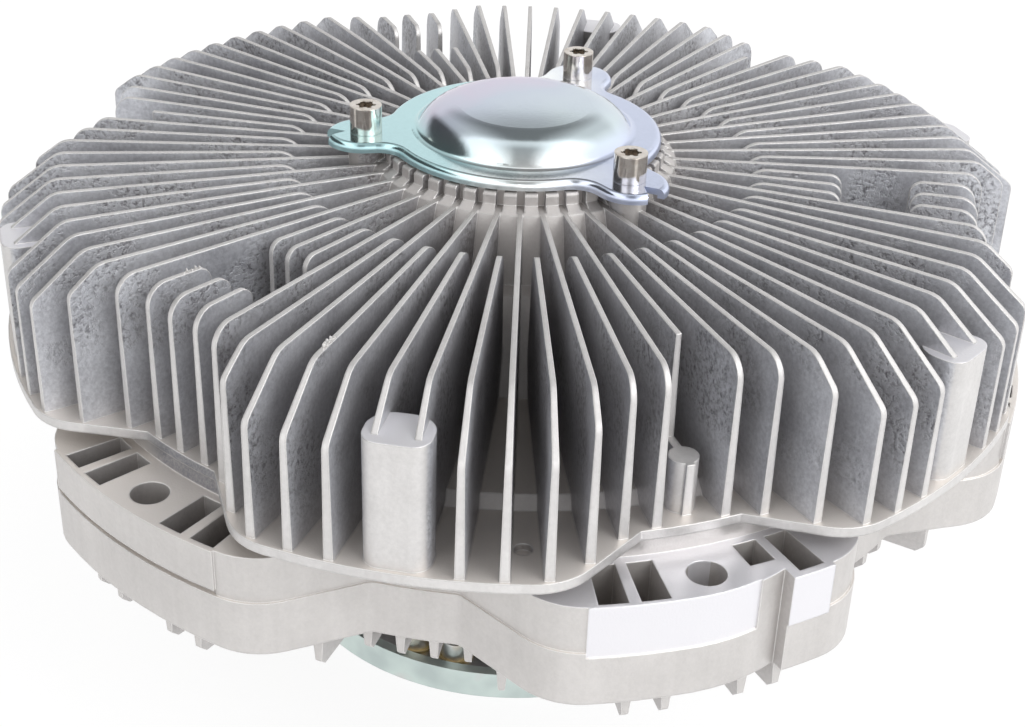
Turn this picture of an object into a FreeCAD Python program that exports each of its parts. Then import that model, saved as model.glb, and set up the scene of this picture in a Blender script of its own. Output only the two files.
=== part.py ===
import FreeCAD, Part
import math
import os

os.makedirs("parts", exist_ok=True)

Vector = FreeCAD.Vector
ORIGIN = Vector(0, 0, 0)
AXIS = Vector(0, 0, 1)

# A viscous fan clutch standing on its mounting face, with its axis along Z.
# Z = 0 is the face that bolts to the drive, and the finned cover looks up.
# Lengths are millimetres and angles are degrees.

# Small distances that the fits share
running_gap = 0.05
loose_gap = 0.3
lap = 1.0
cutter_reach = 10.0

# Mounting ring and the shaft flange that sits in it
ring_r = 77.5
ring_wall = 3.5
ring_height = 9.5
ring_plate = 4.0
pilot_r = 48.0
shaft_flange_thickness = 4.0
hub_bolt_r = 62.0
hub_bolt_count = 4
hub_bolt_hole_r = 5.5
hub_bolt_phase = -65.0
flange_screw_r = 67.5
flange_screw_spread = 6.0
flange_screw_phase = -110.0

# Shaft and bearing
shaft_boss_r = 30.0
shaft_shoulder_r = 24.0
shaft_shoulder_height = 3.0
rotor_seat_r = 18.0
shaft_thread_r = 12.0
shaft_thread_relief = 2.0
shaft_thread_proud = 0.5
shaft_foot = 3.0
bearing_bore_r = 20.0
bearing_outer_r = 40.0
bearing_land_share = 0.28
ball_share = 0.2975
ball_count = 9
cage_thickness = 3.0
cage_rim = 1.45
shield_thickness = 1.0
circlip_thickness = 2.5
circlip_depth = 1.75
circlip_width = 5.0
circlip_opening = 24.0
seal_height = 8.0
seal_wall = 11.0

# Rear body: hub, floor, six lugs and the rim that the cover sits on
hub_clearance = 24.0
hub_land = 5.5
hub_wall = 8.0
hub_shoulder = 3.0
hub_lip = 5.5
hub_flare = 8.0
floor_above_bearing = 14.5
body_floor = 7.0
lug_height = 31.5
rim_height = 5.5
chamber_r = 119.5
valley_wall = 20.5
valley_fillet = 4.0
lug_reach = 23.5
lug_corner_deg = 25.0
lug_flank_deg = 26.0
lug_rounding = 21.0
lug_count = 6
rim_inset = 1.0
lug_hole_inset = 9.5
lug_hole_r = 5.5
parting_height = 17.0
upper_step = 0.8
face_pad_start_deg = -13.0
face_pad_end_deg = 11.7
groove_height = 1.7
groove_depth = 1.5

# Pockets cast into each lug top, two on each side of its hole
pocket_depth = 22.0
pocket_inset = 1.8
pocket_back = 2.5
pocket_start_degs = (4.6, 8.6)
pocket_span_deg = 2.85
short_pocket_inset = 8.7

# Machined outer faces of the three lugs that carry an outlet block
pad_depth = 0.5
pad_height = 16.0
pad_start_deg = -12.4
pad_end_deg = 4.6
relief_start_deg = -2.0
relief_end_deg = 7.5
relief_r = 58.0
block_end_deg = 12.2
block_depth = 5.3
block_proud = 0.5

# Short cooling fins under the body
under_fin_height = 10.0
under_fin_tip = 1.5
under_fin_root = 3.2
under_fin_chamfer = 2.5
under_fin_valley_inset = 2.5
under_fin_lug_inset = 3.5
under_fin_side_inset = 15.0
under_fin_screw_gap = 2.0
under_fin_screw_steps = (0, 3, 4)
under_fin_lug_steps = (1, 2)
under_fin_side_step = 5

# Finned front cover
recess_step = 3.5
lobe_reach = 20.5
lobe_corner_deg = 24.2
lobe_flank_deg = 28.2
lobe_rounding = 19.5
recess_fillet = 1.0
cover_flange = 3.0
cover_floor_rise = 3.5
cover_wall = 5.0
ridge_out = 5.5
ridge_width = 3.0
fin_height = 47.5
hub_base_r = 80.0
hub_shelf_r = 60.0
hub_shelf_width = 5.0
hub_shelf_height = 23.0
ledge_width = 3.5
ledge_rise = 1.3
ledge_drop = 0.5
collar_r = 45.0
collar_rise = 4.8
collar_chamfer = 0.6
collar_slot_width = 2.4
collar_slot_back = 3.0
seat_r = 40.6
seat_rise = 5.6
coil_bore_r = 36.0
coil_bore_depth = 16.2
web_thickness = 6.0
reservoir_top_r = 46.0
reservoir_base_r = 66.0
reservoir_side_height = 13.0
plate_ledge_depth = 2.0
spigot_depth = 4.5
spigot_wall = 4.2

# Cooling fins of the cover, which thin from root to tip
fin_count = 90
fin_phase = 1.71
fin_root = 2.7
fin_tip = 1.5
fin_inset = 0.8
fin_bite = 1.0
short_fin_r = 70.0
short_fin_round = 8.0
knee_inset = 18.0
knee_drop = 13.0
knee_round = 8.0
knee_end_round = 4.0
knee_least = 7.0
recess_fin_round = 6.5
stub_round = 4.0

# Windows through three fins over every second recess
window_inner_r = 101.0
window_outer_r = 122.0
window_reach = 1.5
middle_reach = 0.5

# Shelf, round boss and bare bosses
shelf_start_r = 124.7
shelf_height = 15.9
shelf_inset = 3.5
round_boss_r = 4.2
round_boss_at_r = 134.0
lobe_boss_width = 18.0
lobe_boss_length = 15.0
lobe_boss_height = 37.5
lobe_boss_round = 5.0
lobe_boss_back_round = 7.4
lobe_boss_inset = 1.5
dimple_r = 2.5
dimple_depth = 2.0
dimple_at_r = 149.0
dimple_deg = -88.6

# Domed cap with three eared screws
cap_r = 43.5
cap_thickness = 2.0
cap_skirt = 3.0
cap_edge_round = 1.9
dome_foot_r = 35.8
dome_foot_round = 3.0
dome_flank_deg = 52.8
dome_shoulder_round = 17.0
dome_crown_deg = 4.0
gasket_thickness = 0.8
ear_count = 3
ear_phase = 69.5
ear_screw_r = 50.0
ear_half_width = 11.2
ear_overhang = 1.2
ear_blend = 8.0
ear_notch_width = 7.0
ear_notch_depth = 6.0
ear_boss_r = 5.6
cap_screw_head_r = 5.0
cap_screw_head = 8.6
cap_screw_r = 3.0
cap_screw_length = 18.0
lobe_socket_r = 2.9
lobe_socket_depth = 3.5
lobe_socket_core = 0.8
lobe_socket_flute = 0.28

# Coupling chamber: rotor, separator plate, valve and thermostat coil
rotor_gap = 1.5
rotor_body = 19.0
rotor_hub_wall = 7.0
rotor_web = 10.0
rotor_web_lift = 3.0
rotor_rim_r = 62.0
rotor_hub_top = 15.0
rotor_nut_seat = 9.0
rotor_nut_slope = 1.0
rotor_hole_r = 7.0
rotor_hole_at_r = 44.0
rotor_hole_count = 6
land_pitch = 8.0
land_width = 3.2
land_height = 5.5
land_count = 4
nut_flat = 18.0
nut_height = 10.0
plate_thickness = 2.0
plate_screw_inset = 6.7
plate_screw_r = 2.0
plate_screw_head_r = 3.6
plate_screw_head = 2.2
plate_screw_length = 8.0
plate_screw_count = 6
port_r = 5.0
port_at_r = 52.0
valve_shaft_r = 4.0
valve_head_gap = 1.5
lever_thickness = 1.5
lever_width = 12.0
lever_pad_r = 7.5
coil_strip = 1.2
coil_pitch = 3.6
coil_turns = 7
coil_height = 11.0

# Screws, washers and the seal that join the two halves
cover_screw_inset = 7.0
cover_screw_deg = 14.0
cover_screw_r = 3.0
cover_screw_bite = 3.8
cover_screw_head_r = 5.0
cover_screw_head = 6.0
counterbore_r = 5.6
counterbore_depth = 23.5
flange_screw_shank_r = 3.0
flange_screw_head_r = 5.0
flange_screw_head = 6.0
flange_washer_r = 6.0
flange_washer_thickness = 1.0
clearance_hole_gap = 0.3
socket_inset = 0.5
socket_depth_share = 0.5
seal_cord = 1.8
seal_lift = 1.2

# Bearing sizes that follow from its section
bearing_section = bearing_outer_r - bearing_bore_r
bearing_land = bearing_section * bearing_land_share
ball_r = bearing_section * ball_share
ball_circle_r = (bearing_bore_r + bearing_outer_r) / 2
bearing_width = 2 * (ball_r + cage_rim + 2 * loose_gap + shield_thickness)

# Heights that follow from the stack above the mounting face
flange_top_z = ring_plate + shaft_flange_thickness
hub_bottom_z = flange_top_z + hub_clearance
circlip_z = hub_bottom_z + hub_land
bearing_z = circlip_z + circlip_thickness
bearing_top_z = bearing_z + bearing_width
seal_z = bearing_top_z + hub_shoulder
body_bottom_z = bearing_top_z + floor_above_bearing
under_fin_z = body_bottom_z - under_fin_height
chamber_z = body_bottom_z + body_floor
lug_top_z = body_bottom_z + lug_height
body_top_z = lug_top_z + rim_height
cover_flange_z = body_top_z + cover_flange
cover_floor_z = cover_flange_z + cover_floor_rise
ceiling_z = cover_floor_z - cover_wall
fin_top_z = cover_flange_z + fin_height
collar_z = fin_top_z + collar_rise
seat_z = fin_top_z + seat_rise
cap_under_z = seat_z + gasket_thickness
cap_top_z = cap_under_z + cap_thickness
web_top_z = seat_z - coil_bore_depth
web_under_z = web_top_z - web_thickness
hub_shelf_z = cover_floor_z + hub_shelf_height
plate_top_z = ceiling_z + plate_ledge_depth
plate_z = plate_top_z - plate_thickness
rotor_z = chamber_z + rotor_gap
rotor_face_z = rotor_z + rotor_body
rotor_hub_z = rotor_z + rotor_hub_top
lever_z = plate_top_z + loose_gap

# Radii that follow from the chamber outwards
valley_r = chamber_r + valley_wall
lug_r = valley_r + lug_reach
recess_r = valley_r + recess_step
lobe_r = recess_r + lobe_reach
rim_r = recess_r - rim_inset
lug_hole_at_r = lug_r - lug_hole_inset
cover_screw_at_r = chamber_r + cover_screw_inset
ridge_r = cover_screw_at_r + ridge_out
spigot_r = chamber_r - running_gap
rotor_r = spigot_r - spigot_wall - rotor_gap
rotor_hub_r = rotor_seat_r + rotor_hub_wall
hub_r = bearing_outer_r + hub_wall
seal_r = rotor_hub_r + seal_wall
ring_recess_r = ring_r - ring_wall
shaft_flange_r = ring_recess_r - loose_gap
plate_r = hub_base_r - loose_gap
plate_screw_at_r = hub_base_r - plate_screw_inset
ear_tip_r = ear_screw_r + ear_overhang + ear_half_width

# Angles that repeat round the axis
fin_pitch = 360 / fin_count
sector_deg = 360 / lug_count
first_lug_deg = fin_phase - 33 * fin_pitch
lug_degs = [first_lug_deg + sector_deg * i for i in range(lug_count)]
lobe_degs = [deg + sector_deg / 2 for deg in lug_degs]
window_lug_degs = lug_degs[0::2]
outlet_lug_degs = lug_degs[1::2]


def polar(radius, deg, z=0.0):
    """The point at this radius and angle about the axis."""
    rad = math.radians(deg)
    return Vector(radius * math.cos(rad), radius * math.sin(rad), z)


def turned(shape, deg):
    """A copy turned about the clutch's axis."""
    copy = shape.copy()
    copy.rotate(ORIGIN, AXIS, deg)
    return copy


def round_copies(shape, degs):
    """Copies of one shape at several angles."""
    return [turned(shape, deg) for deg in degs]


def even_degs(count, phase=0.0):
    """Angles spaced evenly round the axis."""
    return [phase + 360 * i / count for i in range(count)]


def closed_face(steps, upright=True):
    """A face from steps: (a, b) draws a line there, (ma, mb, a, b) an arc through its middle."""
    def point(a, b):
        return Vector(a, 0, b) if upright else Vector(a, b, 0)

    edges = []
    here = point(*steps[-1][-2:])
    for step in steps:
        there = point(*step[-2:])
        if len(step) == 4:
            edges.append(Part.Arc(here, point(*step[:2]), there).toShape())
        else:
            edges.append(Part.makeLine(here, there))
        here = there
    return Part.Face(Part.Wire(edges))


def corner(a, b, radius, start_deg, end_deg):
    """Arc step about a centre, from start_deg, which the step before must reach, to end_deg."""
    middle = polar(radius, (start_deg + end_deg) / 2)
    end = polar(radius, end_deg)
    return (a + middle.x, b + middle.y, a + end.x, b + end.y)


def rounded(before, at, after, radius):
    """Line and arc steps that round the corner between two lines."""
    point = Vector(*at, 0)
    back = (Vector(*before, 0) - point).normalize()
    on = (Vector(*after, 0) - point).normalize()
    half = back.getAngle(on) / 2
    inward = (back + on).normalize()
    start = point + back * (radius / math.tan(half))
    end = point + on * (radius / math.tan(half))
    middle = point + inward * (radius / math.sin(half) - radius)
    return [(start.x, start.y), (middle.x, middle.y, end.x, end.y)]


def spun(steps, deg=360.0, start_deg=0.0):
    """A profile in radius and height, revolved about the axis."""
    solid = closed_face(steps).revolve(ORIGIN, AXIS, deg)
    return turned(solid, start_deg)


def raised(face, z0, z1):
    """A flat outline extruded from one height to another."""
    solid = face.extrude(Vector(0, 0, z1 - z0))
    solid.translate(Vector(0, 0, z0))
    return solid


def drum(radius, z0, z1, centre=ORIGIN):
    """A solid cylinder between two heights."""
    return Part.makeCylinder(radius, z1 - z0, Vector(centre.x, centre.y, z0))


def tube(inner_r, outer_r, z0, z1):
    """A plain ring between two heights."""
    return spun([(inner_r, z0), (outer_r, z0), (outer_r, z1), (inner_r, z1)])


def sector(inner_r, outer_r, start_deg, end_deg, z0, z1):
    """A block of a ring between two angles."""
    steps = [(inner_r, z0), (outer_r, z0), (outer_r, z1), (inner_r, z1)]
    return spun(steps, end_deg - start_deg, start_deg)


def hexagon(across_flats_half, z0, z1, centre=ORIGIN):
    """A hexagonal prism."""
    corner_r = across_flats_half / math.cos(math.radians(30))
    points = [polar(corner_r, deg) for deg in even_degs(6)]
    face = closed_face([(p.x, p.y) for p in points], upright=False)
    prism = raised(face, z0, z1)
    prism.translate(centre)
    return prism


def lobed_face(count, outer_r, inner_r, corner_deg, flank_deg, rounding, fillet):
    """Outline with lobes centred at 0 degrees and every 360 / count, joined by recess arcs."""
    flank = math.radians(flank_deg)
    normal = Vector(math.sin(flank), math.cos(flank), 0)
    along = Vector(math.cos(flank), -math.sin(flank), 0)
    foot = polar(inner_r, corner_deg).dot(normal)

    def centre_at(offset, radius):
        return normal * offset + along * math.sqrt(radius ** 2 - offset ** 2)

    round_centre = centre_at(foot - rounding, outer_r - rounding)
    fillet_centre = centre_at(foot + fillet, inner_r + fillet)
    round_way = Vector(round_centre).normalize()
    fillet_way = Vector(fillet_centre).normalize()
    lobe_end = round_way * outer_r
    round_middle = round_centre + Vector(round_way + normal).normalize() * rounding
    flank_top = round_centre + normal * rounding
    flank_foot = fillet_centre - normal * fillet
    fillet_middle = fillet_centre - Vector(fillet_way + normal).normalize() * fillet
    recess_start = fillet_way * inner_r

    edges = []
    for deg in even_degs(count):
        half = [
            Part.Arc(lobe_end, round_middle, flank_top).toShape(),
            Part.makeLine(flank_top, flank_foot),
            Part.Arc(flank_foot, fillet_middle, recess_start).toShape(),
        ]
        for edge in half:
            edges.append(turned(edge, deg))
            mirrored = edge.mirror(ORIGIN, Vector(0, 1, 0))
            edges.append(turned(mirrored, deg))
        below = Vector(lobe_end.x, -lobe_end.y, 0)
        edges.append(turned(Part.Arc(below, Vector(outer_r, 0, 0), lobe_end).toShape(), deg))
        next_start = turned(Part.Vertex(recess_start.x, -recess_start.y, 0), 360 / count).Point
        recess = Part.Arc(recess_start, polar(inner_r, 180 / count), next_start)
        edges.append(turned(recess.toShape(), deg))
    wire = Part.Wire(Part.__sortEdges__(edges))
    return Part.Face(wire)


def reach_of(face, deg, half_width):
    """How far a radial plate of this half width goes before its edge meets the outline."""
    far = 2 * lobe_r
    lengths = []
    for offset in (-half_width, 0.0, half_width):
        line = Part.makeLine(Vector(0, offset, 0), Vector(far, offset, 0))
        inside = turned(line, deg).common(face)
        lengths.append(inside.Length)
    return min(lengths)


def blade(steps, root_z, root_width, tip_z, tip_width):
    """A radial plate with this outline, whose width goes from root to tip."""
    plate = closed_face(steps).extrude(Vector(0, root_width, 0))
    plate.translate(Vector(0, -root_width / 2, 0))
    slope = (tip_width - root_width) / (tip_z - root_z) / 2
    beyond = cutter_reach * (1 if tip_z > root_z else -1)
    low = root_z - beyond
    high = tip_z + beyond
    low_half = root_width / 2 + slope * (low - root_z)
    high_half = root_width / 2 + slope * (high - root_z)
    points = [(-low_half, low), (low_half, low), (high_half, high), (-high_half, high)]
    section = Part.Face(Part.makePolygon([Vector(0, y, z) for y, z in points + points[:1]]))
    return plate.common(section.extrude(Vector(2 * lobe_r, 0, 0)))


def screw(shank_r, length, head_r, head_height):
    """A cap screw along Z with its seat at Z = 0 and its head, with a hex socket, above."""
    body = drum(shank_r, -length, 0).fuse(drum(head_r, 0, head_height))
    socket_z = head_height * (1 - socket_depth_share)
    socket = hexagon(shank_r - socket_inset, socket_z, head_height + lap)
    return body.cut(socket).removeSplitter()


def placed(shape, position, flipped=False):
    """A copy at a position, upside down if flipped."""
    copy = shape.copy()
    if flipped:
        copy.rotate(ORIGIN, Vector(1, 0, 0), 180)
    copy.translate(position)
    return copy


# Front cover: one casting with fins, windows, shelves and bosses

def cover_outline():
    """The cover's lobed flange, turned so that its recesses lie over the lugs."""
    face = lobed_face(lug_count, lobe_r, recess_r, lobe_corner_deg, lobe_flank_deg,
                      lobe_rounding, recess_fillet)
    return turned(face, lobe_degs[0])


def cover_skin():
    """Outer surface from the collar down to the flange, in radius and height."""
    return [
        (seat_r, seat_z),
        (seat_r + seat_rise - collar_rise, collar_z),
        (collar_r - collar_chamfer, collar_z),
        (collar_r, collar_z - collar_chamfer),
        (collar_r, fin_top_z + ledge_rise),
        (collar_r + ledge_width, fin_top_z - ledge_drop),
        (hub_shelf_r - hub_shelf_width, hub_shelf_z + lap),
        (hub_shelf_r, hub_shelf_z),
        (hub_base_r, cover_floor_z),
        (ridge_r - ridge_width, cover_floor_z),
        (ridge_r, cover_flange_z),
    ]


def cover_shell():
    """Hub, reservoir, ceiling with its lands, and the locating spigot."""
    reservoir_side_z = plate_top_z + reservoir_side_height
    inside = [
        (ridge_r, body_top_z),
        (spigot_r, body_top_z),
        (spigot_r, body_top_z - spigot_depth),
        (spigot_r - spigot_wall, body_top_z - spigot_depth),
        (spigot_r - spigot_wall, ceiling_z),
        (hub_base_r, ceiling_z),
        (hub_base_r, plate_top_z),
        (reservoir_base_r, plate_top_z),
        (reservoir_base_r, reservoir_side_z),
        (reservoir_top_r, web_under_z),
        (valve_shaft_r + running_gap, web_under_z),
        (valve_shaft_r + running_gap, web_top_z),
        (coil_bore_r, web_top_z),
        (coil_bore_r, seat_z),
    ]
    shell = spun(cover_skin() + inside)
    lands = [tube(r - land_width / 2, r + land_width / 2, ceiling_z - land_height, ceiling_z + lap)
             for r in cover_land_radii()]
    seal_groove = tube(spigot_r - seal_cord, spigot_r + lap, cover_seal_z(), cover_seal_z() + seal_cord)
    return shell.fuse(lands).cut(seal_groove)


def rotor_land_radii():
    """Centres of the rotor's lands, from its rim inwards."""
    outer = rotor_r - land_width / 2
    return [outer - land_pitch * i for i in range(land_count)]


def cover_land_radii():
    """Centres of the cover's lands, which run between the rotor's."""
    return [r - land_pitch / 2 for r in rotor_land_radii()[:-1]]


def cover_seal_z():
    """Underside of the seal groove on the spigot."""
    return body_top_z - spigot_depth + seal_lift


def skin_height(radius):
    """Height of the cover's outer surface at this radius, for radii outside the collar."""
    points = cover_skin()[5:]
    for (r0, z0), (r1, z1) in zip(points, points[1:]):
        if r0 <= radius <= r1:
            return z0 + (z1 - z0) * (radius - r0) / (r1 - r0)
    return cover_flange_z


def root_steps(start_r, end_r):
    """Lower edge of a fin, one bite below the skin, from its outer end back to its start."""
    inner = [(r, z) for r, z in cover_skin()[5:] if start_r + fin_bite < r < end_r]
    steps = [(end_r, cover_flange_z - fin_bite)]
    steps += [(r - fin_bite, z - fin_bite) for r, z in reversed(inner)]
    if start_r < collar_r:
        return steps + [(start_r, fin_top_z - ledge_drop - fin_bite)]
    return steps + [(start_r, skin_height(start_r) - fin_bite)]


def fin_end_steps(end_r):
    """Top edge of a fin near its outer end: a rounded corner over a recess, a knee over a lobe."""
    knee_r = lobe_r - knee_inset
    if end_r <= knee_r + knee_least:
        radius = recess_fin_round
        return [(end_r - radius, fin_top_z), corner(end_r - radius, fin_top_z - radius, radius, 90, 0)]
    end_z = fin_top_z - (end_r - knee_r) * knee_drop / (knee_inset - lap)
    knee = rounded((0, fin_top_z), (knee_r, fin_top_z), (end_r, end_z), knee_round)
    return knee + rounded((knee_r, fin_top_z), (end_r, end_z), (end_r, 0), knee_end_round)


def round_start(start_r, radius):
    """Rounded upper inner corner of a fin or stub that starts clear of the hub."""
    return [(start_r, fin_top_z - radius), corner(start_r + radius, fin_top_z - radius, radius, 180, 90)]


def fin_outlines(rel_deg, is_long, is_window, end_r):
    """The outlines of the one or two plates that a fin at this angle from its lug consists of."""
    if is_long:
        start_r = collar_r - collar_slot_back
        start = [(start_r, fin_top_z)]
    else:
        start_r = short_fin_r
        start = round_start(short_fin_r, short_fin_round)
    from_middle = abs(rel_deg) / fin_pitch
    if is_window and from_middle < window_reach:
        inner_end = [(window_inner_r - stub_round, fin_top_z),
                     corner(window_inner_r - stub_round, fin_top_z - stub_round, stub_round, 90, 0)]
        inner_root = [(window_inner_r, cover_floor_z - fin_bite)] + root_steps(start_r, window_inner_r)[1:]
        outer = round_start(window_outer_r, stub_round) + fin_end_steps(end_r)
        return [start + inner_end + inner_root, outer + root_steps(window_outer_r, end_r)]
    if not is_window and from_middle < middle_reach:
        shelf_z = cover_flange_z + shelf_height
        shelf = [(shelf_start_r, fin_top_z), (shelf_start_r, shelf_z), (end_r - shelf_inset, shelf_z)]
        return [start + shelf + root_steps(start_r, end_r - shelf_inset)]
    return [start + fin_end_steps(end_r) + root_steps(start_r, end_r)]


def cover_fins(outline):
    """Every fin of the cover; the fins of one lug pair are built once and turned round."""
    fins_per_lug = round(sector_deg / fin_pitch)
    fins = []
    for pair_index in range(2 * fins_per_lug):
        deg = first_lug_deg + (pair_index - fins_per_lug // 2) * fin_pitch
        is_window = pair_index < fins_per_lug
        lug_deg = first_lug_deg if is_window else first_lug_deg + sector_deg
        is_long = pair_index % 2 == (fins_per_lug // 2) % 2
        end_r = reach_of(outline, deg, fin_root / 2) - fin_inset
        from_lobe = sector_deg / 2 - abs(deg - lug_deg)
        if from_lobe < fin_pitch:
            end_r = lobe_r - lobe_boss_inset - 2 * lap
        for steps in fin_outlines(deg - lug_deg, is_long, is_window, end_r):
            fin = blade(steps, cover_flange_z, fin_root, fin_top_z, fin_tip)
            fins += round_copies(fin, [deg + 2 * sector_deg * i for i in range(lug_count // 2)])
    return fins


def collar_slots():
    """Cutters that open the collar above every long fin, down to the fin tops."""
    slot = Part.makeBox(2 * collar_slot_back, collar_slot_width, collar_rise + lap,
                        Vector(collar_r - collar_slot_back, -collar_slot_width / 2, fin_top_z))
    return round_copies(slot, even_degs(fin_count // 2, first_lug_deg))


def lobe_boss():
    """Bare rectangular boss with rounded upright edges, standing on a lobe along +X."""
    outer = lobe_r - lobe_boss_inset
    inner = outer - lobe_boss_length
    half = lobe_boss_width / 2
    front = lobe_boss_round
    back = lobe_boss_back_round
    steps = [
        (outer, half - front),
        corner(outer - front, half - front, front, 0, 90),
        (inner + back, half),
        corner(inner + back, half - back, back, 90, 180),
        (inner, back - half),
        corner(inner + back, back - half, back, 180, 270),
        (outer - front, -half),
        corner(outer - front, front - half, front, 270, 360),
    ]
    face = closed_face(steps, upright=False)
    return raised(face, cover_flange_z - lap, cover_flange_z + lobe_boss_height)


def ear_bosses():
    """Screw bosses that carry the cap's ears."""
    boss = drum(ear_boss_r, hub_shelf_z - lap, cap_under_z, Vector(ear_screw_r, 0, 0))
    return round_copies(boss, ear_degs())


def ear_degs():
    return even_degs(ear_count, ear_phase)


def round_bosses():
    """Low round boss on the shelf over each outlet lug."""
    boss = drum(round_boss_r, cover_flange_z - lap, cover_flange_z + shelf_height,
                Vector(round_boss_at_r, 0, 0))
    return round_copies(boss, outlet_lug_degs)


def cover_screw_degs():
    """Angles of the screws that join the halves, a pair about each lug."""
    return [deg + side * cover_screw_deg for deg in lug_degs for side in (-1, 1)]


def plate_screw_degs():
    return even_degs(plate_screw_count, first_lug_deg)


def front_cover():
    outline = cover_outline()
    flange = raised(outline, body_top_z, cover_flange_z)
    flange = flange.cut(drum(chamber_r + lap, body_top_z - lap, cover_flange_z + lap))
    added = [flange] + cover_fins(outline) + ear_bosses() + round_bosses()
    added += round_copies(lobe_boss(), lobe_degs)
    casting = cover_shell().fuse(added)
    holes = [drum(cap_screw_r, cap_under_z - cap_screw_length, cap_under_z + lap, polar(ear_screw_r, deg))
             for deg in ear_degs()]
    holes += [drum(cover_screw_r, body_top_z - lap, body_top_z + cover_screw_bite,
                   polar(cover_screw_at_r, deg)) for deg in cover_screw_degs()]
    holes += [drum(plate_screw_r, plate_top_z - lap, plate_z + plate_screw_length,
                   polar(plate_screw_at_r, deg)) for deg in plate_screw_degs()]
    holes.append(drum(dimple_r, cover_flange_z - dimple_depth, cover_flange_z + lap,
                      polar(dimple_at_r, dimple_deg)))
    return casting.cut(holes + collar_slots()).removeSplitter()


# Rear body: one casting with hub, lugs, pockets and underside fins

def body_outline(inset=0.0):
    """The rear body's outline, with its lugs outermost, drawn in by an inset."""
    face = lobed_face(lug_count, lug_r - inset, valley_r - inset, lug_corner_deg, lug_flank_deg,
                      lug_rounding, valley_fillet)
    return turned(face, first_lug_deg)


def body_block():
    """Lower and upper halves of the casting; the upper half is drawn in, but for its face pads."""
    parting_z = body_bottom_z + parting_height
    lower = raised(body_outline(), body_bottom_z, parting_z)
    upper = raised(body_outline(upper_step), parting_z, lug_top_z)
    inner_r = lug_r - groove_depth - lap
    plain = sector(inner_r, lug_r, face_pad_start_deg, face_pad_end_deg, parting_z, lug_top_z)
    outlet = sector(inner_r, lug_r, pad_start_deg, relief_end_deg, parting_z, lug_top_z)
    pads = round_copies(plain, window_lug_degs) + round_copies(outlet, outlet_lug_degs)
    rim = raised(body_outline(upper_step), lug_top_z, body_top_z)
    return lower.fuse([upper, rim.common(drum(rim_r, lug_top_z, body_top_z))] + pads)


def body_hub():
    """Hub round the bearing, flared into the floor, bored for bearing and shaft seal."""
    flare_z = body_bottom_z - under_fin_height
    outside = spun([
        (0, hub_bottom_z), (hub_r, hub_bottom_z), (hub_r, flare_z),
        (hub_r + hub_flare, body_bottom_z), (hub_r + hub_flare, body_bottom_z + lap),
        (0, body_bottom_z + lap),
    ])
    bore = spun([
        (0, hub_bottom_z - lap), (bearing_outer_r, hub_bottom_z - lap),
        (bearing_outer_r, circlip_z), (bearing_outer_r + circlip_depth, circlip_z),
        (bearing_outer_r + circlip_depth, bearing_z), (bearing_outer_r, bearing_z),
        (bearing_outer_r, bearing_top_z), (bearing_outer_r - hub_lip, bearing_top_z),
        (bearing_outer_r - hub_lip, seal_z), (seal_r, seal_z),
        (seal_r, chamber_z + lap), (0, chamber_z + lap),
    ])
    return outside, bore


def lug_pockets():
    """Pockets cast into the lug tops; the one beside an outlet block is shorter."""
    top_z = lug_top_z + lap
    pockets = []
    for lug_deg in lug_degs:
        for start in pocket_start_degs:
            for side in (-1, 1):
                shortened = lug_deg in outlet_lug_degs and side == 1 and start == pocket_start_degs[0]
                outer_r = lug_r - (short_pocket_inset if shortened else pocket_inset)
                near = side * start
                far = side * (start + pocket_span_deg)
                pocket = sector(rim_r + pocket_back, outer_r, min(near, far), max(near, far),
                                lug_top_z - pocket_depth, top_z)
                pockets.append(turned(pocket, lug_deg))
    return pockets


def outlet_cuts():
    """Curved relief over the full height, and a shallow machined pad, for an outlet lug along +X."""
    relief_centre = polar(lug_r - relief_r, relief_start_deg)

    def outside(depth, start_deg, end_deg, z0):
        block = sector(chamber_r, lug_r + lap, start_deg, end_deg, z0, lug_top_z + lap)
        return block.cut(drum(relief_r - depth, under_fin_z, body_top_z, relief_centre))

    pad_z = lug_top_z - pad_height
    relief = outside(0.0, relief_start_deg, relief_end_deg, under_fin_z)
    curved_pad = outside(pad_depth, relief_start_deg, pad_end_deg, pad_z)
    plain_pad = sector(lug_r - pad_depth, lug_r + lap, pad_start_deg, relief_start_deg,
                       pad_z, lug_top_z + lap)
    return [relief, curved_pad, plain_pad]


def outlet_block():
    """Outlet block standing a little proud beside the relief."""
    return sector(lug_r - block_depth, lug_r + block_proud, relief_end_deg, block_end_deg,
                  lug_top_z - pad_height, lug_top_z)


def under_fin_end(outline, deg, step):
    """Outer end of the underside fin this many fins from its lug."""
    reach = reach_of(outline, deg, under_fin_root / 2)
    if step in under_fin_screw_steps:
        return cover_screw_at_r - counterbore_r - under_fin_screw_gap
    if step in under_fin_lug_steps:
        return reach - under_fin_lug_inset
    if step == under_fin_side_step:
        return lug_r - under_fin_side_inset
    return min(reach, valley_r) - under_fin_valley_inset


def under_fins(outline):
    """Short radial fins below the floor, every second one starting at the hub."""
    fins_per_lug = round(sector_deg / fin_pitch)
    fins = []
    for index in range(fins_per_lug):
        step = index - fins_per_lug // 2
        deg = first_lug_deg + step * fin_pitch
        end_r = min(under_fin_end(outline, deg, abs(step)),
                    reach_of(outline, deg, under_fin_root / 2) - lap)
        for turn in range(lug_count):
            is_long = (index + turn) % 2 == 0
            start_r = hub_r - lap if is_long else hub_base_r
            steps = [
                (start_r, body_bottom_z + fin_bite),
                (start_r, under_fin_z),
                (end_r - under_fin_chamfer, under_fin_z),
                (end_r, under_fin_z + under_fin_chamfer),
                (end_r, body_bottom_z + fin_bite),
            ]
            fin = blade(steps, body_bottom_z, under_fin_root, under_fin_z, under_fin_tip)
            fins.append(turned(fin, deg + sector_deg * turn))
    return fins


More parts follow.
